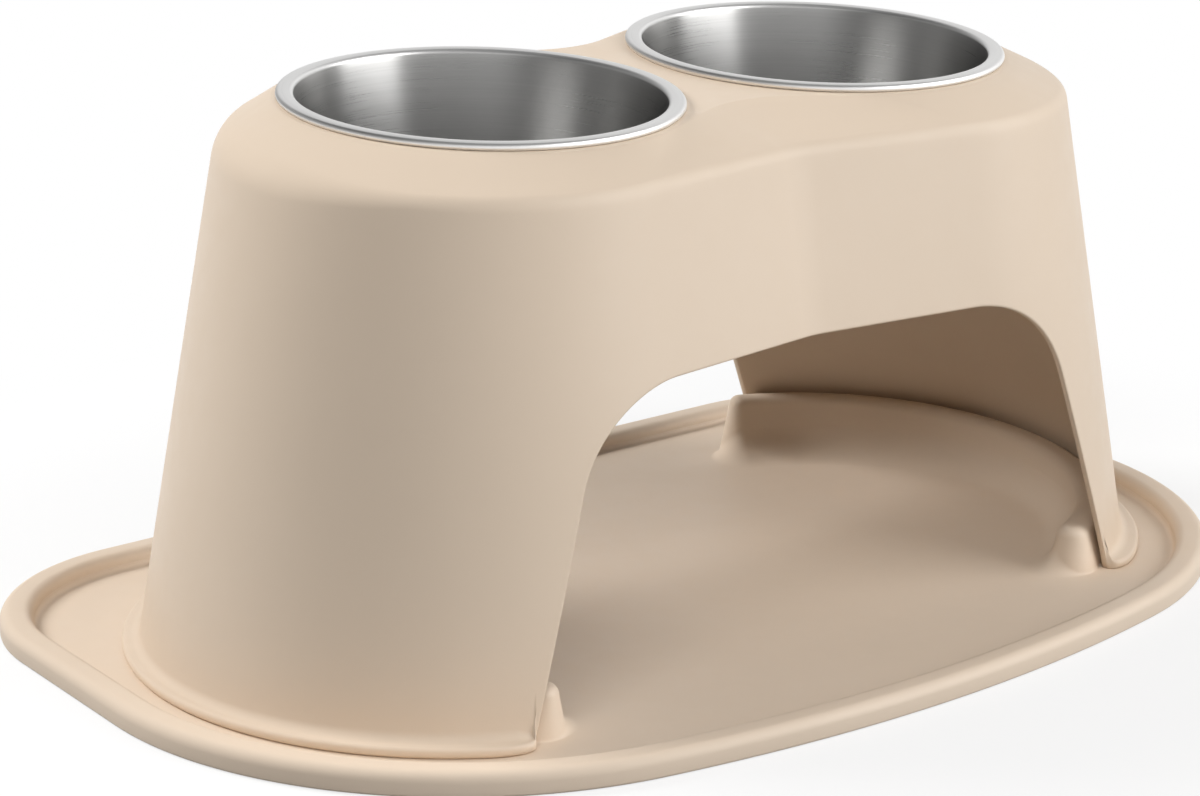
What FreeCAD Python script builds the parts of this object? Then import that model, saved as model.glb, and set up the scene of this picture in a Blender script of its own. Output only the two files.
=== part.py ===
import FreeCAD, Part
import math
import os
import Sketcher
from FreeCAD import Placement, Rotation, Vector

# Elevated double pet feeder: a rimmed mat, a one-piece moulded stand and two drop-in steel bowls.
# Millimetres, +Z up. The origin is on the floor under the middle of the mat, +X runs along the pair of
# bowls and -Y is the front, where the animal eats.

DIMENSIONS = [
    ("rim_diameter", 190, "bowl over its rolled rim"),
    ("rim_width", 8.5, "rim from the inside of the bowl to its outer edge"),
    ("rim_thickness", 3.4, "rolled rim, top to seat"),
    ("rim_lip_radius", 2.4, "where the rim turns down into the bowl"),
    ("bowl_depth", 74, "seat plane to the underside of the bowl"),
    ("bowl_floor_radius", 60, "flat floor of the bowl"),
    ("bowl_corner_radius", 18, "between the bowl's floor and its wall, inside"),
    ("bowl_sheet", 1, "thickness of the steel"),
    ("bowl_gap", 20, "between the rims of the two bowls"),
    ("bowl_tilt", 3.4, "forward lean of the bowls, degrees"),
    ("seat_clearance", 1, "gap between the bowl's wall and its seat"),
    ("crown_margin", 1.5, "seat plane beyond the bowl's rim"),
    ("crown_run", 25.5, "slope of the crown, from the seat plane out to the shoulder"),
    ("crown_rise", 14.5, "seat plane above the shoulder, on the bowls' line"),
    ("crown_pinch", 0.342, "waist inside the lobes, on the seat plane, as a share of their radius"),
    ("crown_rounding", 4, "rounded edge of the seat plane"),
    ("shoulder_height", 242.5, "edge between the walls and the crown, above the foot"),
    ("shoulder_spread", 6, "lobes further apart at the shoulder than the bowls"),
    ("shoulder_pinch", 0.164, "the same at the shoulder"),
    ("shoulder_forward", 4, "how far the shoulder stands forward of the bowls' line"),
    ("shoulder_rounding", 20, "rounded shoulder"),
    ("wall_run", 35, "draft of the walls, from the shoulder out to the foot"),
    ("wall", 3.5, "thickness of the stand's walls"),
    ("waist_radius", 60, "hollow of the waist"),
    ("foot_spread", 24, "lobes further apart at the foot than the bowls"),
    ("foot_pinch", 0.0892, "the same at the foot"),
    ("flange_width", 11, "foot flange beyond the wall, in front and behind"),
    ("flange_tuck", 5, "how much less the flange reaches out at the sides"),
    ("flange_height", 5, "lip of the foot flange"),
    ("flange_bevel", 1.8, "upper edge of the lip"),
    ("flange_hollow", 4, "hollow between the flange and the wall"),
    ("arch_drop", 91.5, "head of the arch below the shoulder"),
    ("arch_reach", 66.5, "foot of the arch in front, beyond the middle of each lobe"),
    ("arch_back_flare", 9, "how much wider the arch is behind, on each side"),
    ("arch_radius", 45, "upper corners of the arch"),
    ("mat_side_margin", 31, "mat beyond the foot flange, left and right"),
    ("mat_front_margin", 43, "mat beyond the foot flange, in front"),
    ("mat_back_margin", 26, "mat beyond the foot flange, behind"),
    ("mat_floor", 3, "thickness of the mat's floor"),
    ("mat_front_radius", 191, "front corners of the mat"),
    ("mat_front_sag", 12, "how far the front edge bows out between its corners"),
    ("mat_back_radius", 100, "back corners of the mat"),
    ("mat_back_narrowing", 7, "how far each side leans in towards the back"),
    ("bead_width", 13, "raised bead round the mat"),
    ("bead_height", 11.5, "bead above the floor that the mat lies on"),
    ("bead_rounding", 5.2, "rolled top of the bead"),
    ("bead_foot_rounding", 2.5, "inner foot of the bead"),
    ("bead_under_rounding", 5, "outer edge of the mat's underside"),
    ("ridge_height", 30, "locating ridge above the mat's floor, halfway along it"),
    ("ridge_tilt", 2, "forward lean of the ridge's top, degrees"),
    ("ridge_width", 7.5, "locating ridge across its top, where it is highest"),
    ("ridge_draft", 9, "lean of the ridge's inner side, degrees"),
    ("ridge_sweep", 141, "turn of each ridge about its lobe, degrees"),
    ("ridge_rounding", 3.5, "rounded edges of the ridge"),
    ("ridge_clearance", 1.5, "gap between a ridge and the inside of the foot"),
]

# Sizes that follow from others, so that the bowls, their seats, the stand and the mat keep fitting
BOWL_SPACING = "(sizes.rim_diameter + sizes.bowl_gap)"
BOWL_LINE = "((sizes.mat_front_margin - sizes.mat_back_margin) / 2)"
BOWL_INSIDE = "(sizes.rim_diameter / 2 - sizes.rim_width)"
CROWN_HEIGHT = "(sizes.shoulder_height + sizes.crown_rise)"
CROWN_RADIUS = "(sizes.rim_diameter / 2 + sizes.crown_margin)"
CROWN_WAIST = f"({CROWN_RADIUS} * (1 - sizes.crown_pinch))"
SHOULDER_RADIUS = f"({CROWN_RADIUS} + sizes.crown_run)"
SHOULDER_SPACING = f"({BOWL_SPACING} + sizes.shoulder_spread)"
SHOULDER_WAIST = f"({SHOULDER_RADIUS} * (1 - sizes.shoulder_pinch))"
FOOT_RADIUS = f"({SHOULDER_RADIUS} + sizes.wall_run)"
FOOT_SPACING = f"({BOWL_SPACING} + sizes.foot_spread)"
FOOT_WAIST = f"({FOOT_RADIUS} * (1 - sizes.foot_pinch))"
ARCH_HEIGHT = "(sizes.shoulder_height - sizes.arch_drop)"
LIP_RADIUS = f"({FOOT_RADIUS} + sizes.flange_width)"
LIP_SPACING = f"({FOOT_SPACING} - 2 * sizes.flange_tuck)"
MAT_HALF_LENGTH = f"({LIP_SPACING} / 2 + {LIP_RADIUS} + sizes.mat_side_margin)"
MAT_HALF_DEPTH = f"({LIP_RADIUS} + (sizes.mat_front_margin + sizes.mat_back_margin) / 2)"

doc = FreeCAD.newDocument("pet_feeder")
sheet = doc.addObject("Spreadsheet::Sheet", "sizes")
for row, (alias, value, note) in enumerate(DIMENSIONS, start=1):
    sheet.set("A%d" % row, alias)
    sheet.set("B%d" % row, str(value))
    sheet.set("C%d" % row, note)
    sheet.setAlias("B%d" % row, alias)
doc.recompute()

# Places in a sketch: its origin, its axes, and the points of a line or an arc
ORIGIN = (-1, 1)
X_AXIS, Y_AXIS = range(-1, -3, -1)
START, END, CENTRE = range(1, 4)

# How near an edge has to lie to a level to count as lying at it
CLOSE = 0.01


def evaluate(formula):
    """Value of a formula in the named sizes."""
    return float(sheet.evalExpression(formula))


def plane_of(body, role):
    """One of a body's own origin planes."""
    return next(item for item in body.Origin.OriginFeatures if item.Role == role)


def new_body(label):
    """An empty sub-part."""
    body = doc.addObject("PartDesign::Body", label)
    body.Label = label
    return body


def new_sketch(body, name, role, offset, tilt=None):
    """A sketch on an origin plane, moved by formulas and leant about its x axis."""
    sketch = body.newObject("Sketcher::SketchObject", name)
    sketch.AttachmentSupport = [(plane_of(body, role), "")]
    sketch.MapMode = "FlatFace"
    if tilt:
        sketch.AttachmentOffset = Placement(Vector(), Rotation(Vector(1, 0, 0), evaluate(tilt)))
        sketch.setExpression("AttachmentOffset.Rotation.Angle", tilt)
    for axis, formula in offset.items():
        sketch.setExpression("AttachmentOffset.Base." + axis, formula)
    return sketch


def line(sketch, start, end):
    """A straight stretch between two points of the sketch plane."""
    return sketch.addGeometry(Part.LineSegment(Vector(*start), Vector(*end)))


def arc(sketch, centre, radius, first, last):
    """An arc, anticlockwise from the first angle to the last, in radians."""
    circle = Part.Circle(Vector(*centre), Vector(0, 0, 1), radius)
    return sketch.addGeometry(Part.ArcOfCircle(circle, first, last))


def fix(sketch, kind, *places):
    """A geometric constraint."""
    sketch.addConstraint(Sketcher.Constraint(kind, *places))


def dimension(sketch, formula, kind, *places):
    """A dimension tied to a formula in the named sizes."""
    index = sketch.addConstraint(Sketcher.Constraint(kind, *places, evaluate(formula)))
    sketch.setExpression("Constraints[%d]" % index, formula)


def centre_at(sketch, geometry, across, up, left=False, below=False):
    """Holds an arc's centre at a distance across and up from the sketch's origin."""
    there = (geometry, CENTRE)
    dimension(sketch, across, "DistanceX", *((there + ORIGIN) if left else (ORIGIN + there)))
    dimension(sketch, up, "DistanceY", *((there + ORIGIN) if below else (ORIGIN + there)))


def feature(body, kind, name, profile, **settings):
    """A PartDesign feature made from a sketch."""
    made = body.newObject("PartDesign::" + kind, name)
    made.Profile = profile
    for key, value in settings.items():
        setattr(made, key, value)
    return made


def dress_edges(body, kind, name, size, chosen):
    """A Fillet or Chamfer on the edges of the body's last feature that a test picks out."""
    doc.recompute()
    base = body.Tip
    edges = []
    for number, edge in enumerate(base.Shape.Edges, start=1):
        if chosen(edge, base.Shape.ancestorsOfType(edge, Part.Face)):
            edges.append("Edge%d" % number)
    made = body.newObject("PartDesign::" + kind, name)
    made.Base = (base, edges)
    made.setExpression("Radius" if kind == "Fillet" else "Size", size)
    return made


def lies_at(edge, height):
    """Whether an edge lies level at a height."""
    level = evaluate(height)
    return abs(edge.BoundBox.ZMin - level) < CLOSE and abs(edge.BoundBox.ZMax - level) < CLOSE


def rectangle(sketch, half_width, half_depth):
    """A rectangle about the sketch's origin."""
    across = evaluate(half_width)
    up = evaluate(half_depth)
    points = [(-across, -up), (across, -up), (across, up), (-across, up)]
    sides = [line(sketch, here, after) for here, after in zip(points, points[1:] + points[:1])]
    for here, after in zip(sides, sides[1:] + sides[:1]):
        fix(sketch, "Coincident", here, END, after, START)
    for side in sides[::2]:
        fix(sketch, "Horizontal", side)
    for side in sides[1::2]:
        fix(sketch, "Vertical", side)
    dimension(sketch, half_width, "DistanceX", sides[0], START, *ORIGIN)
    dimension(sketch, half_depth, "DistanceY", sides[0], START, *ORIGIN)
    dimension(sketch, half_width, "DistanceX", *ORIGIN, sides[2], START)
    dimension(sketch, half_depth, "DistanceY", *ORIGIN, sides[2], START)


def lobed_outline(body, name, lobe, spacing, waist, offset, tilt=None):
    """Outline of two round lobes with straight flanks that meet in a hollow waist, front and back."""
    sketch = new_sketch(body, name, "XY_Plane", offset, tilt)
    radius = evaluate(lobe)
    reach = evaluate(spacing) / 2
    hollow = evaluate("sizes.waist_radius")
    far = evaluate(waist) + hollow
    slope = math.asin((radius + hollow) / math.hypot(reach, far)) - math.atan2(far, reach)
    quarter = math.pi / 2
    lobe_x = reach - radius * math.sin(slope)
    lobe_y = radius * math.cos(slope)
    waist_x = hollow * math.sin(slope)
    waist_y = far - hollow * math.cos(slope)
    right = arc(sketch, (reach, 0), radius, -quarter - slope, quarter + slope)
    back_right = line(sketch, (lobe_x, lobe_y), (waist_x, waist_y))
    back = arc(sketch, (0, far), hollow, -quarter - slope, -quarter + slope)
    back_left = line(sketch, (-waist_x, waist_y), (-lobe_x, lobe_y))
    left = arc(sketch, (-reach, 0), radius, quarter - slope, 3 * quarter + slope)
    front_left = line(sketch, (-lobe_x, -lobe_y), (-waist_x, -waist_y))
    front = arc(sketch, (0, -far), hollow, quarter - slope, quarter + slope)
    front_right = line(sketch, (waist_x, -waist_y), (lobe_x, -lobe_y))
    fix(sketch, "Tangent", right, END, back_right, START)
    fix(sketch, "Tangent", back_right, END, back, END)
    fix(sketch, "Tangent", back, START, back_left, START)
    fix(sketch, "Tangent", back_left, END, left, START)
    fix(sketch, "Tangent", left, END, front_left, START)
    fix(sketch, "Tangent", front_left, END, front, END)
    fix(sketch, "Tangent", front, START, front_right, START)
    fix(sketch, "Tangent", front_right, END, right, START)
    fix(sketch, "PointOnObject", right, CENTRE, X_AXIS)
    fix(sketch, "PointOnObject", left, CENTRE, X_AXIS)
    fix(sketch, "PointOnObject", back, CENTRE, Y_AXIS)
    fix(sketch, "PointOnObject", front, CENTRE, Y_AXIS)
    fix(sketch, "Equal", right, left)
    fix(sketch, "Equal", back, front)
    dimension(sketch, lobe, "Radius", right)
    dimension(sketch, "sizes.waist_radius", "Radius", back)
    dimension(sketch, f"{spacing} / 2", "DistanceX", *ORIGIN, right, CENTRE)
    dimension(sketch, f"{spacing} / 2", "DistanceX", left, CENTRE, *ORIGIN)
    dimension(sketch, f"{waist} + sizes.waist_radius", "DistanceY", *ORIGIN, back, CENTRE)
    dimension(sketch, f"{waist} + sizes.waist_radius", "DistanceY", front, CENTRE, *ORIGIN)
    return sketch


def mat_outline(body, name, inset, height):
    """Outline of the mat, drawn in from its edge: bowed front, leaning sides and a straight back."""
    sketch = new_sketch(body, name, "XY_Plane", {"z": height})
    front_x = f"({MAT_HALF_LENGTH} - sizes.mat_front_radius)"
    front_y = f"({MAT_HALF_DEPTH} - sizes.mat_front_sag - sizes.mat_front_radius)"
    back_x = f"({MAT_HALF_LENGTH} - sizes.mat_back_narrowing - sizes.mat_back_radius)"
    back_y = f"({MAT_HALF_DEPTH} - sizes.mat_back_radius)"
    sag = "sizes.mat_front_sag"
    bow = f"(({front_x} ^ 2 + 2 * sizes.mat_front_radius * {sag} + {sag} ^ 2) / (2 * {sag}))"
    front = Vector(evaluate(front_x), -evaluate(front_y))
    back = Vector(evaluate(back_x), evaluate(back_y))
    front_radius = evaluate(f"sizes.mat_front_radius - {inset}")
    back_radius = evaluate(f"sizes.mat_back_radius - {inset}")
    bow_radius = evaluate(f"{bow} - {inset}")
    bow_y = evaluate(f"{bow} - {MAT_HALF_DEPTH}")
    half_bow = math.asin(front.x / (bow_radius - front_radius))
    across = back - front
    lean = math.atan2(across.y, across.x) - math.acos((front_radius - back_radius) / across.Length)
    outward = Vector(math.cos(lean), math.sin(lean))
    side_front = front + outward * front_radius
    side_back = back + outward * back_radius
    edge_y = back.y + back_radius
    quarter = math.pi / 2
    bowed = arc(sketch, (0, bow_y), bow_radius, -quarter - half_bow, -quarter + half_bow)
    front_right = arc(sketch, (front.x, front.y), front_radius, -quarter + half_bow, lean)
    right = line(sketch, (side_front.x, side_front.y), (side_back.x, side_back.y))
    back_right = arc(sketch, (back.x, back.y), back_radius, lean, quarter)
    straight = line(sketch, (back.x, edge_y), (-back.x, edge_y))
    back_left = arc(sketch, (-back.x, back.y), back_radius, quarter, 2 * quarter - lean)
    left = line(sketch, (-side_back.x, side_back.y), (-side_front.x, side_front.y))
    front_left = arc(sketch, (-front.x, front.y), front_radius, 2 * quarter - lean, 3 * quarter - half_bow)
    run = [bowed, front_right, right, back_right, straight, back_left, left, front_left]
    for here, after in zip(run, run[1:] + run[:1]):
        fix(sketch, "Tangent", here, END, after, START)
    fix(sketch, "Equal", front_right, front_left)
    fix(sketch, "Equal", back_right, back_left)
    dimension(sketch, f"sizes.mat_front_radius - {inset}", "Radius", front_right)
    dimension(sketch, f"sizes.mat_back_radius - {inset}", "Radius", back_right)
    dimension(sketch, f"{bow} - {inset}", "Radius", bowed)
    below = front.y < 0
    front_up = front_y if below else f"-{front_y}"
    centre_at(sketch, front_right, front_x, front_up, below=below)
    centre_at(sketch, front_left, front_x, front_up, left=True, below=below)
    centre_at(sketch, back_right, back_x, back_y)
    centre_at(sketch, back_left, back_x, back_y, left=True)
    return sketch


def make_mat():
    """Soft mat: a floor inside a raised bead, and a ridge inside each foot of the stand."""
    body = new_body("mat")
    edge = mat_outline(body, "mat_edge", "0", "0")
    slab = feature(body, "Pad", "slab", edge)
    slab.setExpression("Length", "sizes.bead_height")
    inside = mat_outline(body, "bead_inside", "sizes.bead_width", "sizes.bead_height")
    tray = feature(body, "Pocket", "tray", inside)
    tray.setExpression("Length", "sizes.bead_height - sizes.mat_floor")
    dress_edges(body, "Fillet", "bead_top", "sizes.bead_rounding",
                lambda edge, faces: lies_at(edge, "sizes.bead_height"))
    dress_edges(body, "Fillet", "bead_foot", "sizes.bead_foot_rounding",
                lambda edge, faces: lies_at(edge, "sizes.mat_floor"))
    dress_edges(body, "Fillet", "mat_underside", "sizes.bead_under_rounding",
                lambda edge, faces: lies_at(edge, "0"))

    place = {"x": f"{FOOT_SPACING} / 2", "z": f"-{BOWL_LINE}"}
    profile = new_sketch(body, "ridge_profile", "XZ_Plane", place)
    lean_in = "(sizes.wall_run + (sizes.foot_spread - sizes.shoulder_spread) / 2 + sizes.shoulder_forward)"
    bottom = "sizes.mat_floor / 2"
    top = f"(sizes.mat_floor + sizes.ridge_height + {FOOT_RADIUS} * tan(sizes.ridge_tilt))"
    outer_foot = f"({FOOT_RADIUS} - sizes.wall - sizes.ridge_clearance)"
    outer_top = f"({outer_foot} - {top} * {lean_in} / sizes.shoulder_height)"
    inner_top = f"({outer_top} - sizes.ridge_width)"
    inner_foot = f"({inner_top} - {top} * tan(sizes.ridge_draft))"
    corners = [(inner_foot, bottom), (outer_foot, bottom), (outer_top, top), (inner_top, top)]
    points = [(evaluate(across), evaluate(up)) for across, up in corners]
    sides = [line(profile, here, after) for here, after in zip(points, points[1:] + points[:1])]
    for here, after in zip(sides, sides[1:] + sides[:1]):
        fix(profile, "Coincident", here, END, after, START)
    for side, (across, up) in zip(sides, corners):
        dimension(profile, across, "DistanceX", *ORIGIN, side, START)
        dimension(profile, up, "DistanceY", *ORIGIN, side, START)
    ridge = feature(body, "Revolution", "right_ridge", profile, Midplane=True)
    ridge.ReferenceAxis = (profile, ["V_Axis"])
    ridge.setExpression("Angle", "sizes.ridge_sweep")
    doc.recompute()
    both = body.newObject("PartDesign::Mirrored", "both_ridges")
    both.Originals = [ridge]
    both.MirrorPlane = (plane_of(body, "YZ_Plane"), [""])
    body.Tip = both
    doc.recompute()
    over = new_sketch(body, "over_ridges", "XY_Plane",
                      {"y": BOWL_LINE, "z": "sizes.mat_floor + sizes.ridge_height"}, "sizes.ridge_tilt")
    rectangle(over, MAT_HALF_LENGTH, MAT_HALF_DEPTH)
    leaning = feature(body, "Pocket", "ridge_tops", over, Reversed=True)
    leaning.setExpression("Length", "sizes.ridge_height")
    low = evaluate("sizes.mat_floor + sizes.ridge_height / 2")
    dress_edges(body, "Fillet", "ridge_rounds", "sizes.ridge_rounding",
                lambda edge, faces: edge.BoundBox.ZMin > low)
    return body


def arch_outline(body, name, reach):
    """Outline of the arch: leaning legs and a flat head with rounded corners."""
    opening = new_sketch(body, name, "XZ_Plane", {})
    half_foot = f"({FOOT_SPACING} / 2 + {reach})"
    half_top = f"{BOWL_SPACING} / 2"
    corner_up = f"({ARCH_HEIGHT} - sizes.arch_radius)"
    width = evaluate(half_foot)
    corner = Vector(evaluate(half_top), evaluate(corner_up))
    radius = evaluate("sizes.arch_radius")
    height = evaluate(ARCH_HEIGHT)
    run = Vector(width, 0) - corner
    lean = math.atan2(run.y, run.x) + math.acos(radius / run.Length)
    leg_top = corner + Vector(math.cos(lean), math.sin(lean)) * radius
    quarter = math.pi / 2
    sill = line(opening, (-width, 0), (width, 0))
    right_leg = line(opening, (width, 0), (leg_top.x, leg_top.y))
    right_corner = arc(opening, (corner.x, corner.y), radius, lean, quarter)
    head = line(opening, (corner.x, height), (-corner.x, height))
    left_corner = arc(opening, (-corner.x, corner.y), radius, quarter, 2 * quarter - lean)
    left_leg = line(opening, (-leg_top.x, leg_top.y), (-width, 0))
    fix(opening, "Coincident", sill, END, right_leg, START)
    fix(opening, "Tangent", right_leg, END, right_corner, START)
    fix(opening, "Tangent", right_corner, END, head, START)
    fix(opening, "Tangent", head, END, left_corner, START)
    fix(opening, "Tangent", left_corner, END, left_leg, START)
    fix(opening, "Coincident", left_leg, END, sill, START)
    fix(opening, "PointOnObject", sill, START, X_AXIS)
    fix(opening, "PointOnObject", sill, END, X_AXIS)
    fix(opening, "Equal", right_corner, left_corner)
    dimension(opening, half_foot, "DistanceX", *ORIGIN, sill, END)
    dimension(opening, half_foot, "DistanceX", sill, START, *ORIGIN)
    dimension(opening, "sizes.arch_radius", "Radius", right_corner)
    centre_at(opening, right_corner, half_top, corner_up)
    centre_at(opening, left_corner, half_top, corner_up, left=True)
    return opening


def borders_wall(faces):
    """Whether one of an edge's faces is a tall wall of the stand."""
    return any(face.BoundBox.ZLength > evaluate("sizes.shoulder_height") / 2 for face in faces)


def make_stand():
    """Hollow stand: drafted lobed walls, sloping crown, foot flange, bowl seats and the arch."""
    body = new_body("stand")
    body.setExpression("Placement.Base.y", BOWL_LINE)
    body.setExpression("Placement.Base.z", "sizes.mat_floor")
    tilt = "sizes.bowl_tilt"
    at_shoulder = {"y": "-sizes.shoulder_forward", "z": "sizes.shoulder_height"}
    at_crown = {"z": CROWN_HEIGHT}

    lip = lobed_outline(body, "lip", LIP_RADIUS, LIP_SPACING, f"({FOOT_WAIST} + sizes.flange_width)", {})
    flange = feature(body, "Pad", "flange", lip)
    flange.setExpression("Length", "sizes.flange_height")
    foot = lobed_outline(body, "foot", FOOT_RADIUS, FOOT_SPACING, FOOT_WAIST, {})
    shoulder = lobed_outline(body, "shoulder", SHOULDER_RADIUS, SHOULDER_SPACING, SHOULDER_WAIST, at_shoulder)
    crown = lobed_outline(body, "crown", CROWN_RADIUS, BOWL_SPACING, CROWN_WAIST, at_crown, tilt)
    feature(body, "AdditiveLoft", "walls", foot, Sections=[shoulder], Ruled=True)
    feature(body, "AdditiveLoft", "slope", shoulder, Sections=[crown], Ruled=True)
    seat_level = evaluate(CROWN_HEIGHT) - evaluate(CROWN_RADIUS) * math.sin(math.radians(evaluate(tilt)))
    dress_edges(body, "Fillet", "crown_round", "sizes.crown_rounding",
                lambda edge, faces: edge.BoundBox.ZMin > seat_level - CLOSE)
    dress_edges(body, "Chamfer", "lip_edge", "sizes.flange_bevel",
                lambda edge, faces: lies_at(edge, "sizes.flange_height") and not borders_wall(faces))
    dress_edges(body, "Fillet", "foot_hollow", "sizes.flange_hollow",
                lambda edge, faces: lies_at(edge, "sizes.flange_height") and borders_wall(faces))

    # The hollow inside follows the skin at the thickness of the wall
    inner_foot = lobed_outline(body, "inner_foot", f"({FOOT_RADIUS} - sizes.wall)", FOOT_SPACING,
                               f"({FOOT_WAIST} - sizes.wall)", {})
    inner_level = "sizes.shoulder_height - sizes.wall * 0.6"
    under_shoulder = {"y": "-sizes.shoulder_forward", "z": inner_level}
    inner_shoulder = lobed_outline(body, "inner_shoulder", f"({SHOULDER_RADIUS} - sizes.wall)",
                                   SHOULDER_SPACING, f"({SHOULDER_WAIST} - sizes.wall)", under_shoulder)
    inner_crown = lobed_outline(body, "inner_crown", f"({CROWN_RADIUS} - sizes.wall * 0.4)", BOWL_SPACING,
                                f"({CROWN_WAIST} - sizes.wall * 0.4)",
                                {"z": f"{CROWN_HEIGHT} - sizes.wall"}, tilt)
    feature(body, "SubtractiveLoft", "inside_walls", inner_foot, Sections=[inner_shoulder], Ruled=True)
    feature(body, "SubtractiveLoft", "inside_slope", inner_shoulder, Sections=[inner_crown], Ruled=True)
    dress_edges(body, "Fillet", "inside_round", "sizes.shoulder_rounding - sizes.wall",
                lambda edge, faces: lies_at(edge, inner_level))
    dress_edges(body, "Fillet", "shoulder_round", "sizes.shoulder_rounding",
                lambda edge, faces: lies_at(edge, "sizes.shoulder_height"))

    seats = new_sketch(body, "seat_circles", "XY_Plane", at_crown, tilt)
    hole = f"{BOWL_INSIDE} + sizes.bowl_sheet + sizes.seat_clearance"
    for side in (-1, 1):
        centre = Vector(side * evaluate(BOWL_SPACING) / 2, 0, 0)
        ring = seats.addGeometry(Part.Circle(centre, Vector(0, 0, 1), evaluate(hole)))
        fix(seats, "PointOnObject", ring, CENTRE, X_AXIS)
        ends = ORIGIN + (ring, CENTRE) if side > 0 else (ring, CENTRE) + ORIGIN
        dimension(seats, f"{BOWL_SPACING} / 2", "DistanceX", *ends)
        dimension(seats, hole, "Radius", ring)
    holes = feature(body, "Pocket", "seats", seats)
    holes.setExpression("Length", "3 * sizes.wall")

    front = arch_outline(body, "front_arch", "sizes.arch_reach")
    feature(body, "Pocket", "arch_in_front", front, Type="ThroughAll", Reversed=True)
    back = arch_outline(body, "back_arch", "(sizes.arch_reach + sizes.arch_back_flare)")
    feature(body, "Pocket", "arch_behind", back, Type="ThroughAll")
    return body


def make_bowl(label, side):
    """Drawn steel bowl with a flat rim rolled over at its edge, leaning with its seat."""
    body = new_body(label)
    body.Placement = Placement(Vector(), Rotation(Vector(1, 0, 0), evaluate("sizes.bowl_tilt")))
    body.setExpression("Placement.Rotation.Angle", "sizes.bowl_tilt")
    body.setExpression("Placement.Base.x", f"{side} * {BOWL_SPACING} / 2")
    body.setExpression("Placement.Base.y", BOWL_LINE)
    body.setExpression("Placement.Base.z", f"sizes.mat_floor + {CROWN_HEIGHT}")

    profile = new_sketch(body, label + "_profile", "XZ_Plane", {})
    edge_x = "(sizes.rim_diameter / 2 - sizes.rim_thickness / 2)"
    lip_x = f"({BOWL_INSIDE} + sizes.rim_lip_radius)"
    lip_down = "(sizes.rim_thickness - sizes.rim_lip_radius)"
    corner_down = "(sizes.bowl_depth - sizes.bowl_sheet - sizes.bowl_corner_radius)"
    thick = evaluate("sizes.rim_thickness")
    edge = Vector(evaluate(edge_x), thick / 2)
    lip = Vector(evaluate(lip_x), evaluate(lip_down))
    corner = Vector(evaluate("sizes.bowl_floor_radius"), -evaluate(corner_down))
    lip_radius = evaluate("sizes.rim_lip_radius")
    corner_radius = evaluate("sizes.bowl_corner_radius")
    outer_radius = corner_radius + evaluate("sizes.bowl_sheet")
    depth = evaluate("sizes.bowl_depth")
    floor = depth - evaluate("sizes.bowl_sheet")
    # The wall is the line that turns over the lip on its inner side and into the corner on its outer side
    run = lip - corner
    lean = math.atan2(run.y, run.x) - math.acos((lip_radius + corner_radius) / run.Length)
    outward = Vector(math.cos(lean), math.sin(lean))
    wall_top = lip - outward * lip_radius
    wall_foot = corner + outward * corner_radius
    skin_foot = corner + outward * outer_radius
    skin_top = skin_foot + (wall_top - wall_foot) * (-skin_foot.y / (wall_top - wall_foot).y)
    quarter = math.pi / 2
    seat = line(profile, (skin_top.x, 0), (edge.x, 0))
    roll = arc(profile, (edge.x, edge.y), thick / 2, -quarter, quarter)
    rim = line(profile, (edge.x, thick), (lip.x, thick))
    turn = arc(profile, (lip.x, lip.y), lip_radius, quarter, 2 * quarter + lean)
    wall = line(profile, (wall_top.x, wall_top.y), (wall_foot.x, wall_foot.y))
    inner_corner = arc(profile, (corner.x, corner.y), corner_radius, -quarter, lean)
    inner_floor = line(profile, (corner.x, -floor), (0, -floor))
    axis = line(profile, (0, -floor), (0, -depth))
    outer_floor = line(profile, (0, -depth), (corner.x, -depth))
    outer_corner = arc(profile, (corner.x, corner.y), outer_radius, -quarter, lean)
    skin = line(profile, (skin_foot.x, skin_foot.y), (skin_top.x, 0))
    fix(profile, "Tangent", seat, END, roll, START)
    fix(profile, "Tangent", roll, END, rim, START)
    fix(profile, "Tangent", rim, END, turn, START)
    fix(profile, "Tangent", turn, END, wall, START)
    fix(profile, "Tangent", wall, END, inner_corner, END)
    fix(profile, "Tangent", inner_corner, START, inner_floor, START)
    fix(profile, "Coincident", inner_floor, END, axis, START)
    fix(profile, "Coincident", axis, END, outer_floor, START)
    fix(profile, "Tangent", outer_floor, END, outer_corner, START)
    fix(profile, "Tangent", outer_corner, END, skin, START)
    fix(profile, "Coincident", skin, END, seat, START)
    for level in (seat, rim, inner_floor, outer_floor):
        fix(profile, "Horizontal", level)
    fix(profile, "Parallel", wall, skin)
    fix(profile, "PointOnObject", seat, START, X_AXIS)
    fix(profile, "PointOnObject", axis, START, Y_AXIS)
    fix(profile, "PointOnObject", axis, END, Y_AXIS)
    fix(profile, "Coincident", inner_corner, CENTRE, outer_corner, CENTRE)
    dimension(profile, "sizes.rim_thickness / 2", "Radius", roll)
    dimension(profile, "sizes.rim_lip_radius", "Radius", turn)
    dimension(profile, "sizes.bowl_corner_radius", "Radius", inner_corner)
    dimension(profile, "sizes.bowl_corner_radius + sizes.bowl_sheet", "Radius", outer_corner)
    dimension(profile, edge_x, "DistanceX", *ORIGIN, roll, CENTRE)
    dimension(profile, lip_x, "DistanceX", *ORIGIN, turn, CENTRE)
    centre_at(profile, inner_corner, "sizes.bowl_floor_radius", corner_down, below=True)
    turned = feature(body, "Revolution", label + "_turned", profile, Angle=360)
    turned.ReferenceAxis = (profile, ["V_Axis"])
    return body


parts = [make_mat(), make_stand(), make_bowl("left_bowl", -1), make_bowl("right_bowl", 1)]
doc.recompute()

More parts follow.
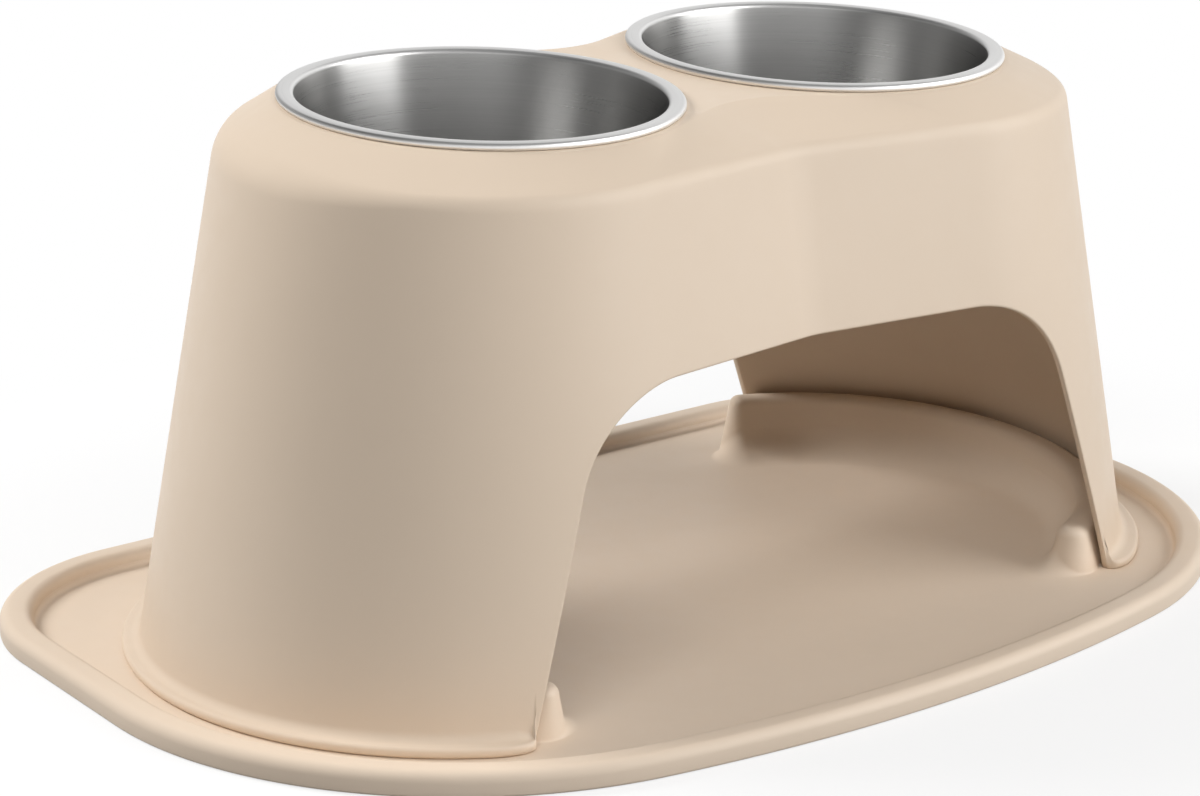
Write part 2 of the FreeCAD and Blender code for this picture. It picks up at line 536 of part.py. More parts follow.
failed = [item.Label for item in doc.Objects if "Invalid" in item.State or "Error" in item.State]
if failed:
    raise RuntimeError("not made: " + ", ".join(failed))
os.makedirs("parts", exist_ok=True)
for part in parts:
    shape = part.Shape
    if shape.isNull() or not shape.isValid():
        raise RuntimeError("bad shape: " + part.Label)
    shape.exportStep("parts/%s.step" % part.Label)
    print(part.Label, "%.1f cm3," % (shape.Volume / 1000), len(shape.Solids), "solid")
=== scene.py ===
"""Studio scene of an elevated double pet feeder: a rimmed mat, a moulded stand and two brushed steel bowls.

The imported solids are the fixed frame: +Z up, +X along the pair of bowls and -Y the front. Sizes of the feeder are
in millimetres and sizes of the studio in metres. The pieces have the solids' sizes, except for the stand's wall,
its arch, the mat's ridges and the bead's width, which follow the photograph more closely.
"""

import logging
import math
from dataclasses import dataclass, field, replace
from enum import Enum
from typing import Iterable, Sequence

import bmesh
import bpy
import numpy as np
from mathutils import Matrix, Vector


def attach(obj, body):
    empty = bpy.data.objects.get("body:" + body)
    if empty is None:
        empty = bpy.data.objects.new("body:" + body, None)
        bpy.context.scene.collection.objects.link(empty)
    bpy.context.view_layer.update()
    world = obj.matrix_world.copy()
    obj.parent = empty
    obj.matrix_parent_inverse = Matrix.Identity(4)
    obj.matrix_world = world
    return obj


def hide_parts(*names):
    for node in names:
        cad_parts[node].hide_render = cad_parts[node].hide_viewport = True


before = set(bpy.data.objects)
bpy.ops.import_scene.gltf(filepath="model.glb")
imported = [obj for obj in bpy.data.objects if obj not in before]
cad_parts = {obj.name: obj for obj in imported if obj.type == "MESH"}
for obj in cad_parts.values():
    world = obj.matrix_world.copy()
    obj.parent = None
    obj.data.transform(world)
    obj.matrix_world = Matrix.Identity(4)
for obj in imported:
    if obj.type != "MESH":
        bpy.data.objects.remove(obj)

LOG = logging.getLogger("pet_feeder")
MM = 0.001
QUARTER = math.pi / 2
LEAN = math.radians(3.4)
Triple = tuple[float, float, float]
Array = np.ndarray
Socket, Material, Mesh, Object = bpy.types.NodeSocket, bpy.types.Material, bpy.types.Mesh, bpy.types.Object
Tone = Triple | Socket


class Side(Enum):
    """The two bowls of the pair, with the sign of their place along X."""

    LEFT = -1
    RIGHT = 1

    @property
    def label(self) -> str:
        """Name of the bowl on this side."""
        return f"{self.name.lower()}_bowl"


class Lamp(Enum):
    """The soft boxes of the studio."""

    KEY = "key_box"
    FILL = "fill_box"
    RIM = "rim_box"
    TOP = "top_box"


def placed(name: str, data: bpy.types.ID) -> Object:
    """Makes an object of some data and links it into the scene."""
    made = bpy.data.objects.new(name, data)
    bpy.context.scene.collection.objects.link(made)
    return made


def new_object(name: str, mesh: Mesh, material: Material) -> Object:
    """Puts a finished mesh into the scene as one smooth piece.

    Args:
        name: Name of the piece.
        mesh: Its mesh, in the frame of the solids.
        material: Its finish.

    Returns:
        The new object, at the origin.
    """
    mesh.materials.clear()
    mesh.materials.append(material)
    mesh.polygons.foreach_set("use_smooth", [True] * len(mesh.polygons))
    mesh.polygons.foreach_set("material_index", [0] * len(mesh.polygons))
    mesh.update()
    return placed(name, mesh)


def rounded(start: Array, corner: Array, end: Array, steps: int, weight: float | Array = 0.72) -> list[Array]:
    """Rows of points that turn a corner along a conic, with one point of each row for every column.

    Args:
        start: Where the turn begins, one point a column.
        corner: The sharp corner that the turn replaces.
        end: Where the turn ends.
        steps: How many stretches the turn has.
        weight: Fullness of the turn; the cosine of half the angle turned makes it a circle.

    Returns:
        The rows, from start to end.
    """
    weight = np.reshape(np.broadcast_to(weight, len(corner)), (-1, 1))
    rows = []
    for part in np.linspace(0.0, 1.0, steps + 1):
        first, middle, last = (1 - part) ** 2, 2 * part * (1 - part) * weight, part ** 2
        rows.append((first * start + middle * corner + last * end) / (first + middle + last))
    return rows


def fillet(corner: Array, coming: Array, going: Array, radius: float | Array, steps: int) -> list[Array]:
    """Rows of points that turn a corner along a circle.

    Args:
        corner: The sharp corner, one point a column.
        coming: Directions of length one into the corner.
        going: Directions of length one out of it.
        radius: The circle's radius.
        steps: How many stretches the turn has.

    Returns:
        The rows, from start to end.
    """
    turn = np.arccos(np.clip(np.sum(coming * going, axis=1), -1.0, 1.0))
    length = (radius * np.tan(turn / 2))[:, None]
    return rounded(corner - coming * length, corner, corner + going * length, steps, np.cos(turn / 2))


def between(start: Array, end: Array, parts: Iterable[float]) -> list[Array]:
    """Rows of points at given shares of the way from one row to another."""
    return [start + (end - start) * part for part in parts]


def evenly(first: float | Array, last: float | Array, count: int) -> Array:
    """Evenly spaced values or points from the first on, without the last."""
    return np.linspace(first, last, count, endpoint=False)


def arc(centre: Sequence[float], radius: float, angle: Array) -> Array:
    """Points of a circle at some angles."""
    return np.asarray(centre) + radius * np.column_stack([np.cos(angle), np.sin(angle)])


def unit(vectors: Array) -> Array:
    """Rows of vectors brought to length one."""
    return vectors / np.maximum(np.linalg.norm(vectors, axis=1, keepdims=True), 1e-9)


class MeshMaker:
    """Collects loops of points and the faces between them in one bmesh, in millimetres."""

    def __init__(self) -> None:
        """Starts an empty mesh."""
        self.bm = bmesh.new()

    def loop(self, points: Array) -> list[bmesh.types.BMVert]:
        """Adds a closed loop of points."""
        return [self.bm.verts.new(Vector(point) * MM) for point in points]

    def skin(self, rows: Sequence[Array]) -> tuple[list, list]:
        """Joins rows of points, each a closed loop, with quads.

        Args:
            rows: The loops, all with the same number of points.

        Returns:
            The vertices of the first loop and of the last.
        """
        loops = [self.loop(row) for row in rows]
        for lower, upper in zip(loops, loops[1:]):
            for i in range(len(lower)):
                j = (i + 1) % len(lower)
                self.bm.faces.new((lower[i], lower[j], upper[j], upper[i]))
        return loops[0], loops[-1]

    def fill(self, *loops: list) -> None:
        """Fills the flat region between an outer loop and the loops that leave holes in it."""
        self.bm.edges.ensure_lookup_table()
        edges = []
        for loop in loops:
            for here, after in zip(loop, loop[1:] + loop[:1]):
                edges.append(self.bm.edges.get((here, after)) or self.bm.edges.new((here, after)))
        bmesh.ops.triangle_fill(self.bm, use_beauty=True, use_dissolve=False, edges=edges)

    def finish(self, name: str) -> Mesh:
        """Turns every face outwards and returns the mesh.

        Args:
            name: Name of the mesh.

        Returns:
            The finished mesh, in metres.
        """
        bmesh.ops.recalc_face_normals(self.bm, faces=self.bm.faces)
        mesh = bpy.data.meshes.new(name)
        self.bm.to_mesh(mesh)
        self.bm.free()
        return mesh


class NodeGraph:
    """A node tree under construction, with one way to add and feed its nodes."""

    def __init__(self, tree: bpy.types.NodeTree, family: str) -> None:
        """Takes a tree whose nodes' types start with the family's name."""
        self.tree = tree
        self.family = family

    def node(self, kind: str, links: dict | None = None, **settings) -> bpy.types.Node:
        """Adds a node.

        Args:
            kind: The node's type, without the family's name where it starts with that.
            links: For each input's name or number, the output that feeds it or the value that it takes.
            settings: Properties of the node.

        Returns:
            The node.
        """
        made = self.tree.nodes.new(kind if "Node" in kind else self.family + kind)
        for key, value in settings.items():
            setattr(made, key, value)
        for label, source in (links or {}).items():
            self.join(source, made.inputs[label])
        return made

    def out(self, kind: str, links: dict | None = None, **settings) -> Socket:
        """Adds a node and gives its first output."""
        return self.node(kind, links, **settings).outputs[0]

    def join(self, source: Socket | float | Sequence[float], socket: Socket) -> None:
        """Feeds a socket from an output, or gives it a value."""
        if isinstance(source, Socket):
            self.tree.links.new(source, socket)
        else:
            socket.default_value = source

    def reckon(self, operation: str, first: Socket, second: Socket | float) -> Socket:
        """The outcome of a sum with two values."""
        return self.out("Math", {0: first, 1: second}, operation=operation)

    def ramp(self, value: Socket, start: float, end: float, low: float = 0.0, high: float = 1.0, **how) -> Socket:
        """Runs from a low to a high number while a value goes from its start to its end."""
        links = {"Value": value, "From Min": start, "From Max": end, "To Min": low, "To Max": high}
        return self.node("MapRange", links, **how).outputs["Result"]


class NodeRule(NodeGraph):
    """A Geometry Nodes tree with named inputs, run once on a line of points to make a plain mesh."""

    def __init__(self, name: str, **inputs: str) -> None:
        """Makes the tree with its inputs.

        Args:
            name: Name of the tree.
            inputs: Each input's name, with spaces as underscores, and its socket type.
        """
        super().__init__(bpy.data.node_groups.new(name, "GeometryNodeTree"), "GeometryNode")
        sockets = self.tree.interface
        for way in ("INPUT", "OUTPUT"):
            sockets.new_socket("Geometry", in_out=way, socket_type="NodeSocketGeometry")
        self.identifiers = {}
        for label, kind in inputs.items():
            socket = sockets.new_socket(label.replace("_", " "), in_out="INPUT", socket_type="NodeSocket" + kind)
            self.identifiers[label] = socket.identifier
        self.source = self.tree.nodes.new("NodeGroupInput")

    def given(self, label: str) -> Socket:
        """The socket that carries one of the tree's inputs."""
        return self.source.outputs[label.replace("_", " ")]

    def close(self, geometry: Socket) -> None:
        """Ends the tree with realised, smooth geometry in the material that is given."""
        smooth = self.out("SetShadeSmooth", {"Geometry": geometry})
        real = self.out("RealizeInstances", {"Geometry": smooth})
        dressed = self.out("SetMaterial", {"Geometry": real, "Material": self.given("Material")})
        self.join(dressed, self.tree.nodes.new("NodeGroupOutput").inputs[0])

    def make(self, name: str, points: Array, closed: bool, **values) -> Mesh:
        """Runs the tree on a line of points.

        Args:
            name: Name of the mesh.
            points: The line's points, in metres.
            closed: Whether the line returns to its start.
            values: What each of the tree's inputs is set to.

        Returns:
            A plain mesh with nothing live on it.
        """
        count = len(points)
        line = bpy.data.meshes.new(name + "_line")
        line.from_pydata([tuple(p) for p in points], [(i, (i + 1) % count) for i in range(count - (not closed))], [])
        carrier = placed(name + "_line", line)
        modifier = carrier.modifiers.new(name, "NODES")
        modifier.node_group = self.tree
        for label, value in values.items():
            modifier[self.identifiers[label]] = value
        graph = bpy.context.evaluated_depsgraph_get()
        mesh = bpy.data.meshes.new_from_object(carrier.evaluated_get(graph))
        mesh.name = name
        carrier.modifiers.remove(modifier)
        bpy.data.objects.remove(carrier)
        return mesh


class Finish(NodeGraph):
    """A procedural material under construction."""

    def __init__(self, name: str) -> None:
        """Starts a material with one principled shader."""
        self.material = bpy.data.materials.new(name)
        self.material.use_nodes = True
        super().__init__(self.material.node_tree, "ShaderNode")
        self.shader = self.tree.nodes["Principled BSDF"]

    def noise(self, place: Socket, scale: float, detail: float = 2.0) -> Socket:
        """A noise between nought and one, at a scale in repeats a metre."""
        return self.node("TexNoise", {"Vector": place, "Scale": scale, "Detail": detail}).outputs["Fac"]

    def spread(self, value: Socket, low: float, high: float) -> Socket:
        """Spreads the middle of a noise over a range."""
        return self.ramp(value, 0.3, 0.7, low, high)

    def tones(self, value: Socket, first: Tone, last: Tone) -> Socket:
        """Mixes two tones by a value.

        Args:
            value: The share of the second tone.
            first: The first tone, a colour or the output of an earlier mix.
            last: The second tone, likewise.

        Returns:
            The mixed colour.
        """
        mix = self.node("Mix", {0: value}, data_type="RGBA")
        for socket, tone in zip([s for s in mix.inputs if s.type == "RGBA"], (first, last)):
            self.join(tone if isinstance(tone, Socket) else (*tone, 1.0), socket)
        return next(s for s in mix.outputs if s.type == "RGBA")

    def feed(self, socket: str, source: Socket | float) -> None:
        """Feeds one of the shader's sockets."""
        self.join(source, self.shader.inputs[socket])

    def bump(self, height: Socket, strength: float, depth: float, under: Socket | None = None) -> Socket:
        """Roughens the surface by a height, over an earlier bump where one is given."""
        links = {"Height": height, "Strength": strength, "Distance": depth}
        if under is not None:
            links["Normal"] = under
        return self.node("Bump", links).outputs["Normal"]


@dataclass(frozen=True)
class MouldedPlastic:
    """Satin moulded plastic with a fine texture and a slight drift of tone."""

    name: str
    light: Triple
    dark: Triple
    smooth: float = 0.42
    rough: float = 0.52
    drift: float = 7.0
    mottle: float = 90.0
    flow: float = 38.0
    flow_strength: float = 0.05
    flow_depth: float = 0.0006
    grain: float = 1500.0
    grain_strength: float = 0.22
    grain_depth: float = 0.00012
    refraction: float = 1.47
    gloss: float = 0.42

    def make(self) -> Material:
        """Builds the material on Object coordinates."""
        finish = Finish(self.name)
        place = finish.node("TexCoord").outputs["Object"]
        drift = finish.spread(finish.noise(place, self.drift, 4.0), 0.0, 1.0)
        finish.feed("Base Color", finish.tones(drift, self.light, self.dark))
        finish.feed("Roughness", finish.spread(finish.noise(place, self.mottle, 3.0), self.smooth, self.rough))
        flow = finish.bump(finish.noise(place, self.flow), self.flow_strength, self.flow_depth)
        grain = finish.noise(place, self.grain)
        finish.feed("Normal", finish.bump(grain, self.grain_strength, self.grain_depth, flow))
        finish.feed("IOR", self.refraction)
        finish.feed("Specular IOR Level", self.gloss)
        return finish.material


@dataclass(frozen=True)
class BrushedSteel:
    """Drawn stainless steel, brushed round and round inside, with the rim's colour painted lighter as a painted
    reflection.
    """

    name: str = "brushed_steel"
    light: Triple = (0.47, 0.466, 0.458)
    dark: Triple = (0.385, 0.382, 0.376)
    # Painted reflection: the rim's tones are painted far lighter than the inside's steel
    rim_painted_reflection_light: Triple = (0.91, 0.905, 0.895)
    rim_painted_reflection_dark: Triple = (0.81, 0.805, 0.796)
    smooth: float = 0.25
    rough: float = 0.33
    rim_rough: float = 0.42
    rim_from: float = -0.0012
    rim_full: float = 0.0004
    rim_run: float = 0.011
    rim_blend: float = 0.001
    brushed: float = 0.7
    rim_brushed: float = 0.15
    streak: float = 900.0
    streaks_round: float = 3.0
    hair: float = 2790.0
    hairs_round: float = 8.0
    patch: float = 22.0
    groove: float = 0.03
    groove_depth: float = 0.00008
    brush_turn: float = 0.25

    def make(self) -> Material:
        """Builds the material on the bowl's own map, which runs round it and down its profile in metres."""
        finish = Finish(self.name)
        brush = finish.node("UVMap", uv_map="brush").outputs["UV"]
        place = finish.node("TexCoord").outputs["Object"]
        along = finish.out("Mapping", {"Vector": brush, "Scale": (self.streaks_round, self.streak, 1.0)})
        fine = finish.out("Mapping", {"Vector": brush, "Scale": (self.hairs_round, self.hair, 1.0)})
        blend = finish.reckon("ADD", finish.noise(along, 1.0, 3.0), finish.noise(fine, 1.0))
        mean = finish.reckon("ADD", blend, finish.noise(place, self.patch))
        share = finish.reckon("MULTIPLY", mean, 1.0 / 3.0)
        run = finish.node("SeparateXYZ", {"Vector": brush}).outputs["Y"]
        begun = finish.ramp(run, self.rim_from, self.rim_full)
        ended = finish.ramp(run, self.rim_run + self.rim_blend, self.rim_run)
        rim = finish.reckon("MULTIPLY", begun, ended)
        even = finish.spread(share, 0.0, 1.0)
        # Painted reflection: the rim's colour is painted far lighter than the inside's, a lit and a shaded copy of
        # one steel; the rim's own roughness and anisotropy are real
        inside, edge = finish.tones(even, self.dark, self.light), finish.tones(even, self.rim_painted_reflection_dark, self.rim_painted_reflection_light)
        finish.feed("Base Color", finish.tones(rim, inside, edge))
        rough = finish.spread(share, self.smooth, self.rough)
        finish.feed("Roughness", finish.out("Mix", {0: rim, 2: rough, 3: self.rim_rough}))
        finish.feed("Anisotropic", finish.ramp(rim, 0.0, 1.0, self.brushed, self.rim_brushed))
        finish.feed("Normal", finish.bump(blend, self.groove, self.groove_depth))
        finish.feed("Tangent", finish.node("Tangent", direction_type="UV_MAP", uv_map="brush").outputs["Tangent"])
        finish.feed("Metallic", 1.0)
        finish.feed("Anisotropic Rotation", self.brush_turn)
        return finish.material


@dataclass(frozen=True)
class LobedOutline:
    """Outline of two round lobes with straight flanks that meet in a hollow waist, level or leaning."""

    lobe: float
    reach: float
    waist: float
    hollow: float
    height: float = 0.0
    forward: float = 0.0
    lean: float = 0.0

    def within(self, inset: float, drop: float = 0.0) -> "LobedOutline":
        """The same outline drawn in and lowered."""
        return replace(self, lobe=self.lobe - inset, waist=self.waist - inset, height=self.height - drop)

    def points(self, columns: Array) -> Array:
        """Places points round the outline.

        Args:
            columns: For each point the stretch of the outline, from 0 to 7, and the share of the way along it.

        Returns:
            The points, anticlockwise from the front of the right lobe.
        """
        far = self.waist + self.hollow
        turn = math.asin((self.lobe + self.hollow) / math.hypot(self.reach, far)) - math.atan2(far, self.reach)
        lobe_end = np.array([self.reach - self.lobe * math.sin(turn), self.lobe * math.cos(turn)])
        waist_end = np.array([self.hollow * math.sin(turn), far - self.hollow * math.cos(turn)])
        stretch, share = columns[:, 0].astype(int), columns[:, 1]
        flank = (waist_end - lobe_end) * share[:, None]
        # The front half repeats the back half, turned about the middle
        runs = np.array([
            arc((self.reach, 0.0), self.lobe, (2 * share - 1) * (QUARTER + turn)),
            lobe_end + flank,
            arc((0.0, far), self.hollow, (1 - 2 * share) * turn - QUARTER),
            (waist_end - flank) * [-1, 1],
        ])
        flat = runs[stretch % 4, np.arange(len(columns))] * np.where(stretch < 4, 1, -1)[:, None]
        cosine, sine = math.cos(self.lean), math.sin(self.lean)
        return np.column_stack([flat[:, 0], flat[:, 1] * cosine - self.forward, self.height + flat[:, 1] * sine])


@dataclass(frozen=True)
class Arch:
    """Outline of the arch on one side of the stand: leaning legs and a flat head with rounded corners."""

    half_foot: float
    half_top: float
    height: float
    radius: float

    def half_width(self, level: Array, margin: float) -> Array:
        """Half the width of the opening at some levels.

        Args:
            level: Heights above the foot.
            margin: How far outside the opening the outline is drawn.

        Returns:
            The half widths, and minus one above the head.
        """
        corner = np.array([self.half_top, self.height - self.radius])
        run = np.array([self.half_foot, 0.0]) - corner
        lean = math.atan2(run[1], run[0]) + math.acos(self.radius / math.hypot(*run))
        reach = math.cos(lean) * self.half_foot + margin
        leg = (reach - math.sin(lean) * level) / math.cos(lean)
        radius = self.radius + margin
        rise = np.clip(level - corner[1], -radius, radius)
        turned = corner[0] + np.sqrt(radius ** 2 - rise ** 2)
        leg_top = corner[1] + math.sin(lean) * radius
        width = np.where(level < leg_top, leg, turned)
        return np.where(level > self.height + margin, -1.0, width)


@dataclass
class Stand:
    """Hollow moulded stand: drafted lobed walls, sloping crown, foot flange, bowl seats and the arch."""

    plastic: Material
    place: Triple = (0.0, 8.5, 3.0)
    lean: float = LEAN
    foot: LobedOutline = LobedOutline(152.5, 123.0, 140.697, 60.0)
    lip: LobedOutline = LobedOutline(163.5, 118.5, 151.697, 60.0)
    brow: LobedOutline = LobedOutline(114.0, 118.4, 98.04, 60.0, 242.5, 4.0, LEAN)
    crown: LobedOutline = LobedOutline(96.5, 105.0, 63.497, 60.0, 257.0, 0.0, LEAN)
    wall: float = 3.5
    brow_thinning: float = 0.6
    crown_thinning: float = 0.4
    shoulder_rounding: float = 20.0
    front_rounding: float = 9.0
    front_from: float = 18.0
    front_over: float = 60.0
    crown_rounding: float = 4.0
    crown_margin: float = 0.8
    flange_height: float = 5.0
    flange_rounding: float = 2.0
    flange_hollow: float = 4.5
    flange_end: float = 24.0
    flange_under: float = 2.4
    edge_rounding: float = 1.1
    arch_rows: tuple[float, ...] = (0.5, 0.9, 1.3, 1.8, 2.4, 3.2)
    inner_edge: float = 0.7
    seat_radius: float = 88.5
    seat_reach: float = 105.0
    seat_edge: float = 0.8
    seat_margin: float = 0.7
    front_arch: Arch = Arch(185.7, 94.0, 150.0, 61.0)
    back_arch: Arch = Arch(193.2, 94.0, 150.0, 61.0)
    columns: Array = field(init=False)

    def __post_init__(self) -> None:
        """Lays out the columns of the mesh, closer together where the legs' edges run."""
        shares = np.concatenate([evenly(0.0, 0.1, 14), evenly(0.1, 0.2, 56), evenly(0.2, 0.8, 100),
                                 evenly(0.8, 0.9, 56), evenly(0.9, 1.0, 14)])
        flank, waist = evenly(0.0, 1.0, 22), evenly(0.0, 1.0, 14)
        stretches = [shares, flank, waist, flank] * 2
        rows = [np.column_stack([np.full(len(s), number), s]) for number, s in enumerate(stretches)]
        self.columns = np.concatenate(rows)

    def outlines(self, inside: float) -> tuple[Array, Array, Array]:
        """Columns' points at the foot, the shoulder and the crown of a skin.

        Args:
            inside: Thickness between this skin and the outer one.

        Returns:
            The three rows of points.
        """
        foot = self.foot.within(inside)
        brow = self.brow.within(inside, self.brow_thinning * inside)
        crown = self.crown.within(self.crown_thinning * inside, inside)
        return tuple(outline.points(self.columns) for outline in (foot, brow, crown))

    def start(self, low: Array, high: Array, margin: float) -> Array:
        """Where each column of a wall leaves the arch.

        Args:
            low: The wall's foot.
            high: The wall's shoulder.
            margin: How far outside the arch the columns start.

        Returns:
            For each column, the share of the way from foot to shoulder.
        """
        lower, upper = np.zeros(len(low)), np.ones(len(low))

        def inside(share: Array) -> Array:
            """Whether the columns are in the opening there."""
            point = low + (high - low) * share[:, None]
            front = self.front_arch.half_width(point[:, 2], margin)
            back = self.back_arch.half_width(point[:, 2], margin)
            return np.abs(point[:, 0]) < np.where(low[:, 1] < 0, front, back)

        open_foot = inside(lower)
        for _ in range(44):
            middle = (lower + upper) / 2
            within = inside(middle)
            lower, upper = np.where(within, middle, lower), np.where(within, upper, middle)
        return np.where(open_foot, upper, 0.0)

    def flange(self, low: Array) -> Array:
        """How far the flange reaches from each column's foot, with its ends rounded off at the legs' edges.

        Args:
            low: The foot of the outer wall.

        Returns:
            Vectors from the foot to the flange's lip.
        """
        reach = self.lip.points(self.columns) - low
        half = np.where(low[:, 1] < 0, self.front_arch.half_foot, self.back_arch.half_foot)
        # Distance round the lobe from the leg's edge
        edge, here = (np.arccos(np.clip((across - self.foot.reach) / self.foot.lobe, -1.0, 1.0))
                      for across in (half, np.abs(low[:, 0])))
        away = (edge - here) * self.foot.lobe
        share = np.clip(away / self.flange_end, 0.0, 1.0)
        return reach * np.sqrt(1.0 - (1.0 - share) ** 2)[:, None]

    def bottom(self, inner: tuple, outer: tuple) -> list[Array]:
        """Rows under the stand's wall: round the arch's edge where it is open, and round the flange elsewhere.

        Args:
            inner: Foot and shoulder of the inner skin.
            outer: Foot and shoulder of the outer skin.

        Returns:
            The rows from the inner skin to the outer.
        """
        def skin(ends: tuple, share: Array) -> Array:
            """Points of a skin at shares of its height."""
            return ends[0] + (ends[1] - ends[0]) * share[:, None]

        edge = self.edge_rounding
        margins = [0.0, edge, *(edge + extra for extra in self.arch_rows)]
        within = [self.start(*inner[:2], margin) for margin in margins[:2]]
        without = [self.start(*outer[:2], margin) for margin in margins]
        opened = (without[0] > 0)[:, None]
        corner_in, corner_out = skin(inner, within[0]), skin(outer, without[0])
        across = unit(corner_out - corner_in)

        low = outer[0]
        reach = self.flange(low)
        width = np.linalg.norm(reach, axis=1, keepdims=True)
        out = unit(reach + 1e-6 * low * [1, 1, 0])
        up = np.array([0.0, 0.0, 1.0])
        lip = low + reach
        hollow = skin(outer, np.full(len(low), self.flange_height / self.brow.height))
        soft = np.minimum(self.flange_rounding, 0.45 * width)
        scoop = np.minimum(self.flange_hollow, 0.55 * width + 0.4)
        rise = unit(outer[1] - outer[0])
        top = lip + up * self.flange_height
        foot_in = inner[0]
        rim_in = unit(lip - foot_in)

        arch = [skin(inner, within[1]), corner_in, corner_in + across * edge,
                corner_out - across * edge, corner_out, *(skin(outer, share) for share in without[1:])]
        leg = [foot_in + unit(inner[1] - inner[0]) * self.inner_edge, foot_in, foot_in + rim_in * self.inner_edge,
               lip - rim_in * self.flange_under, lip, lip + up * self.flange_under,
               top - up * soft, top, top - out * soft,
               hollow + out * scoop, hollow, hollow + rise * scoop]
        points = [np.where(opened, *pair) for pair in zip(arch, leg)]
        rows = []
        for turn, steps in enumerate((4, 4, 5, 6)):
            rows += rounded(*points[3 * turn:3 * turn + 3], steps)
        return rows

    def shoulder(self, ends: tuple, inside: float, steps: int) -> list[Array]:
        """Rows that turn a skin from its wall into the slope of the crown, more tightly in front.

        Args:
            ends: The skin's points at the foot, the shoulder and the crown.
            inside: Thickness between this skin and the outer one.
            steps: How many stretches the turn has.

        Returns:
            The rows, from the wall to the slope.
        """
        low, high, crown = ends
        front = np.clip((-high[:, 1] - self.front_from) / self.front_over, 0.0, 1.0)
        rounding = self.shoulder_rounding + (self.front_rounding - self.shoulder_rounding) * front - inside
        return fillet(high, unit(high - low), unit(crown - high), rounding, steps)

    def seat_ring(self, side: int, radius: float, drop: float, count: int = 120) -> Array:
        """A ring of points about the middle of a seat, square to the leaning seat plane."""
        across, up = arc((side * self.seat_reach, 0.0), radius, evenly(0.0, 2 * math.pi, count)).T
        cosine, sine = math.cos(self.lean), math.sin(self.lean)
        return np.column_stack([across, up * cosine + drop * sine, self.crown.height + up * sine - drop * cosine])

    def build(self) -> Object:
        """Builds the stand as one closed skin.

        Returns:
            The stand's object.
        """
        maker = MeshMaker()
        inner, outer = self.outlines(self.wall), self.outlines(0.0)
        inside_turn = self.shoulder(inner, self.wall, 8)
        outside_turn = self.shoulder(outer, 0.0, 14)
        bottom = self.bottom(inner, outer)

        crown = outer[2]
        plane = np.array([0.0, -math.sin(self.lean), math.cos(self.lean)])
        around = unit(np.roll(crown, -1, axis=0) - np.roll(crown, 1, axis=0))
        inward = unit(np.cross(plane, around))
        crown_turn = fillet(crown, unit(crown - outer[1]), inward, self.crown_rounding, 7)

        first, last = maker.skin([
            inner[2], *between(inner[2], inside_turn[-1], [0.06, 0.5]), *inside_turn[::-1],
            *between(inside_turn[0], bottom[0], [0.02, 0.12, 0.25, 0.4, 0.55, 0.7, 0.85, 0.96]), *bottom,
            *between(bottom[-1], outside_turn[0], [0.02, 0.06, *np.linspace(0.12, 0.94, 15), 0.98]), *outside_turn,
            *between(outside_turn[-1], crown_turn[0], [0.15, 0.4, 0.7]), *crown_turn,
            crown_turn[-1] + inward * self.crown_margin,
        ])

        upper, lower = [last], [first]
        hole, edge = self.seat_radius, self.seat_edge
        profile = [(hole + edge + self.seat_margin, 0.0), (hole + edge, 0.0), (hole + 0.3 * edge, 0.3 * edge),
                   (hole, edge), (hole, self.wall)]
        for side in (-1, 1):
            top, base = maker.skin([self.seat_ring(side, radius, drop) for radius, drop in profile])
            upper.append(top)
            lower.append(base)
        maker.fill(*upper)
        maker.fill(*lower)
        mesh = maker.finish("stand_shell")
        mesh.transform(Matrix.Translation(Vector(self.place) * MM))
        return new_object("stand_shell", mesh, self.plastic)

    def dress(self) -> list[Object]:
        """Builds the stand and sets it in the frame in place of its solid."""
        piece = self.build()
        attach(piece, "stand")
        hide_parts("stand")
        return [piece]


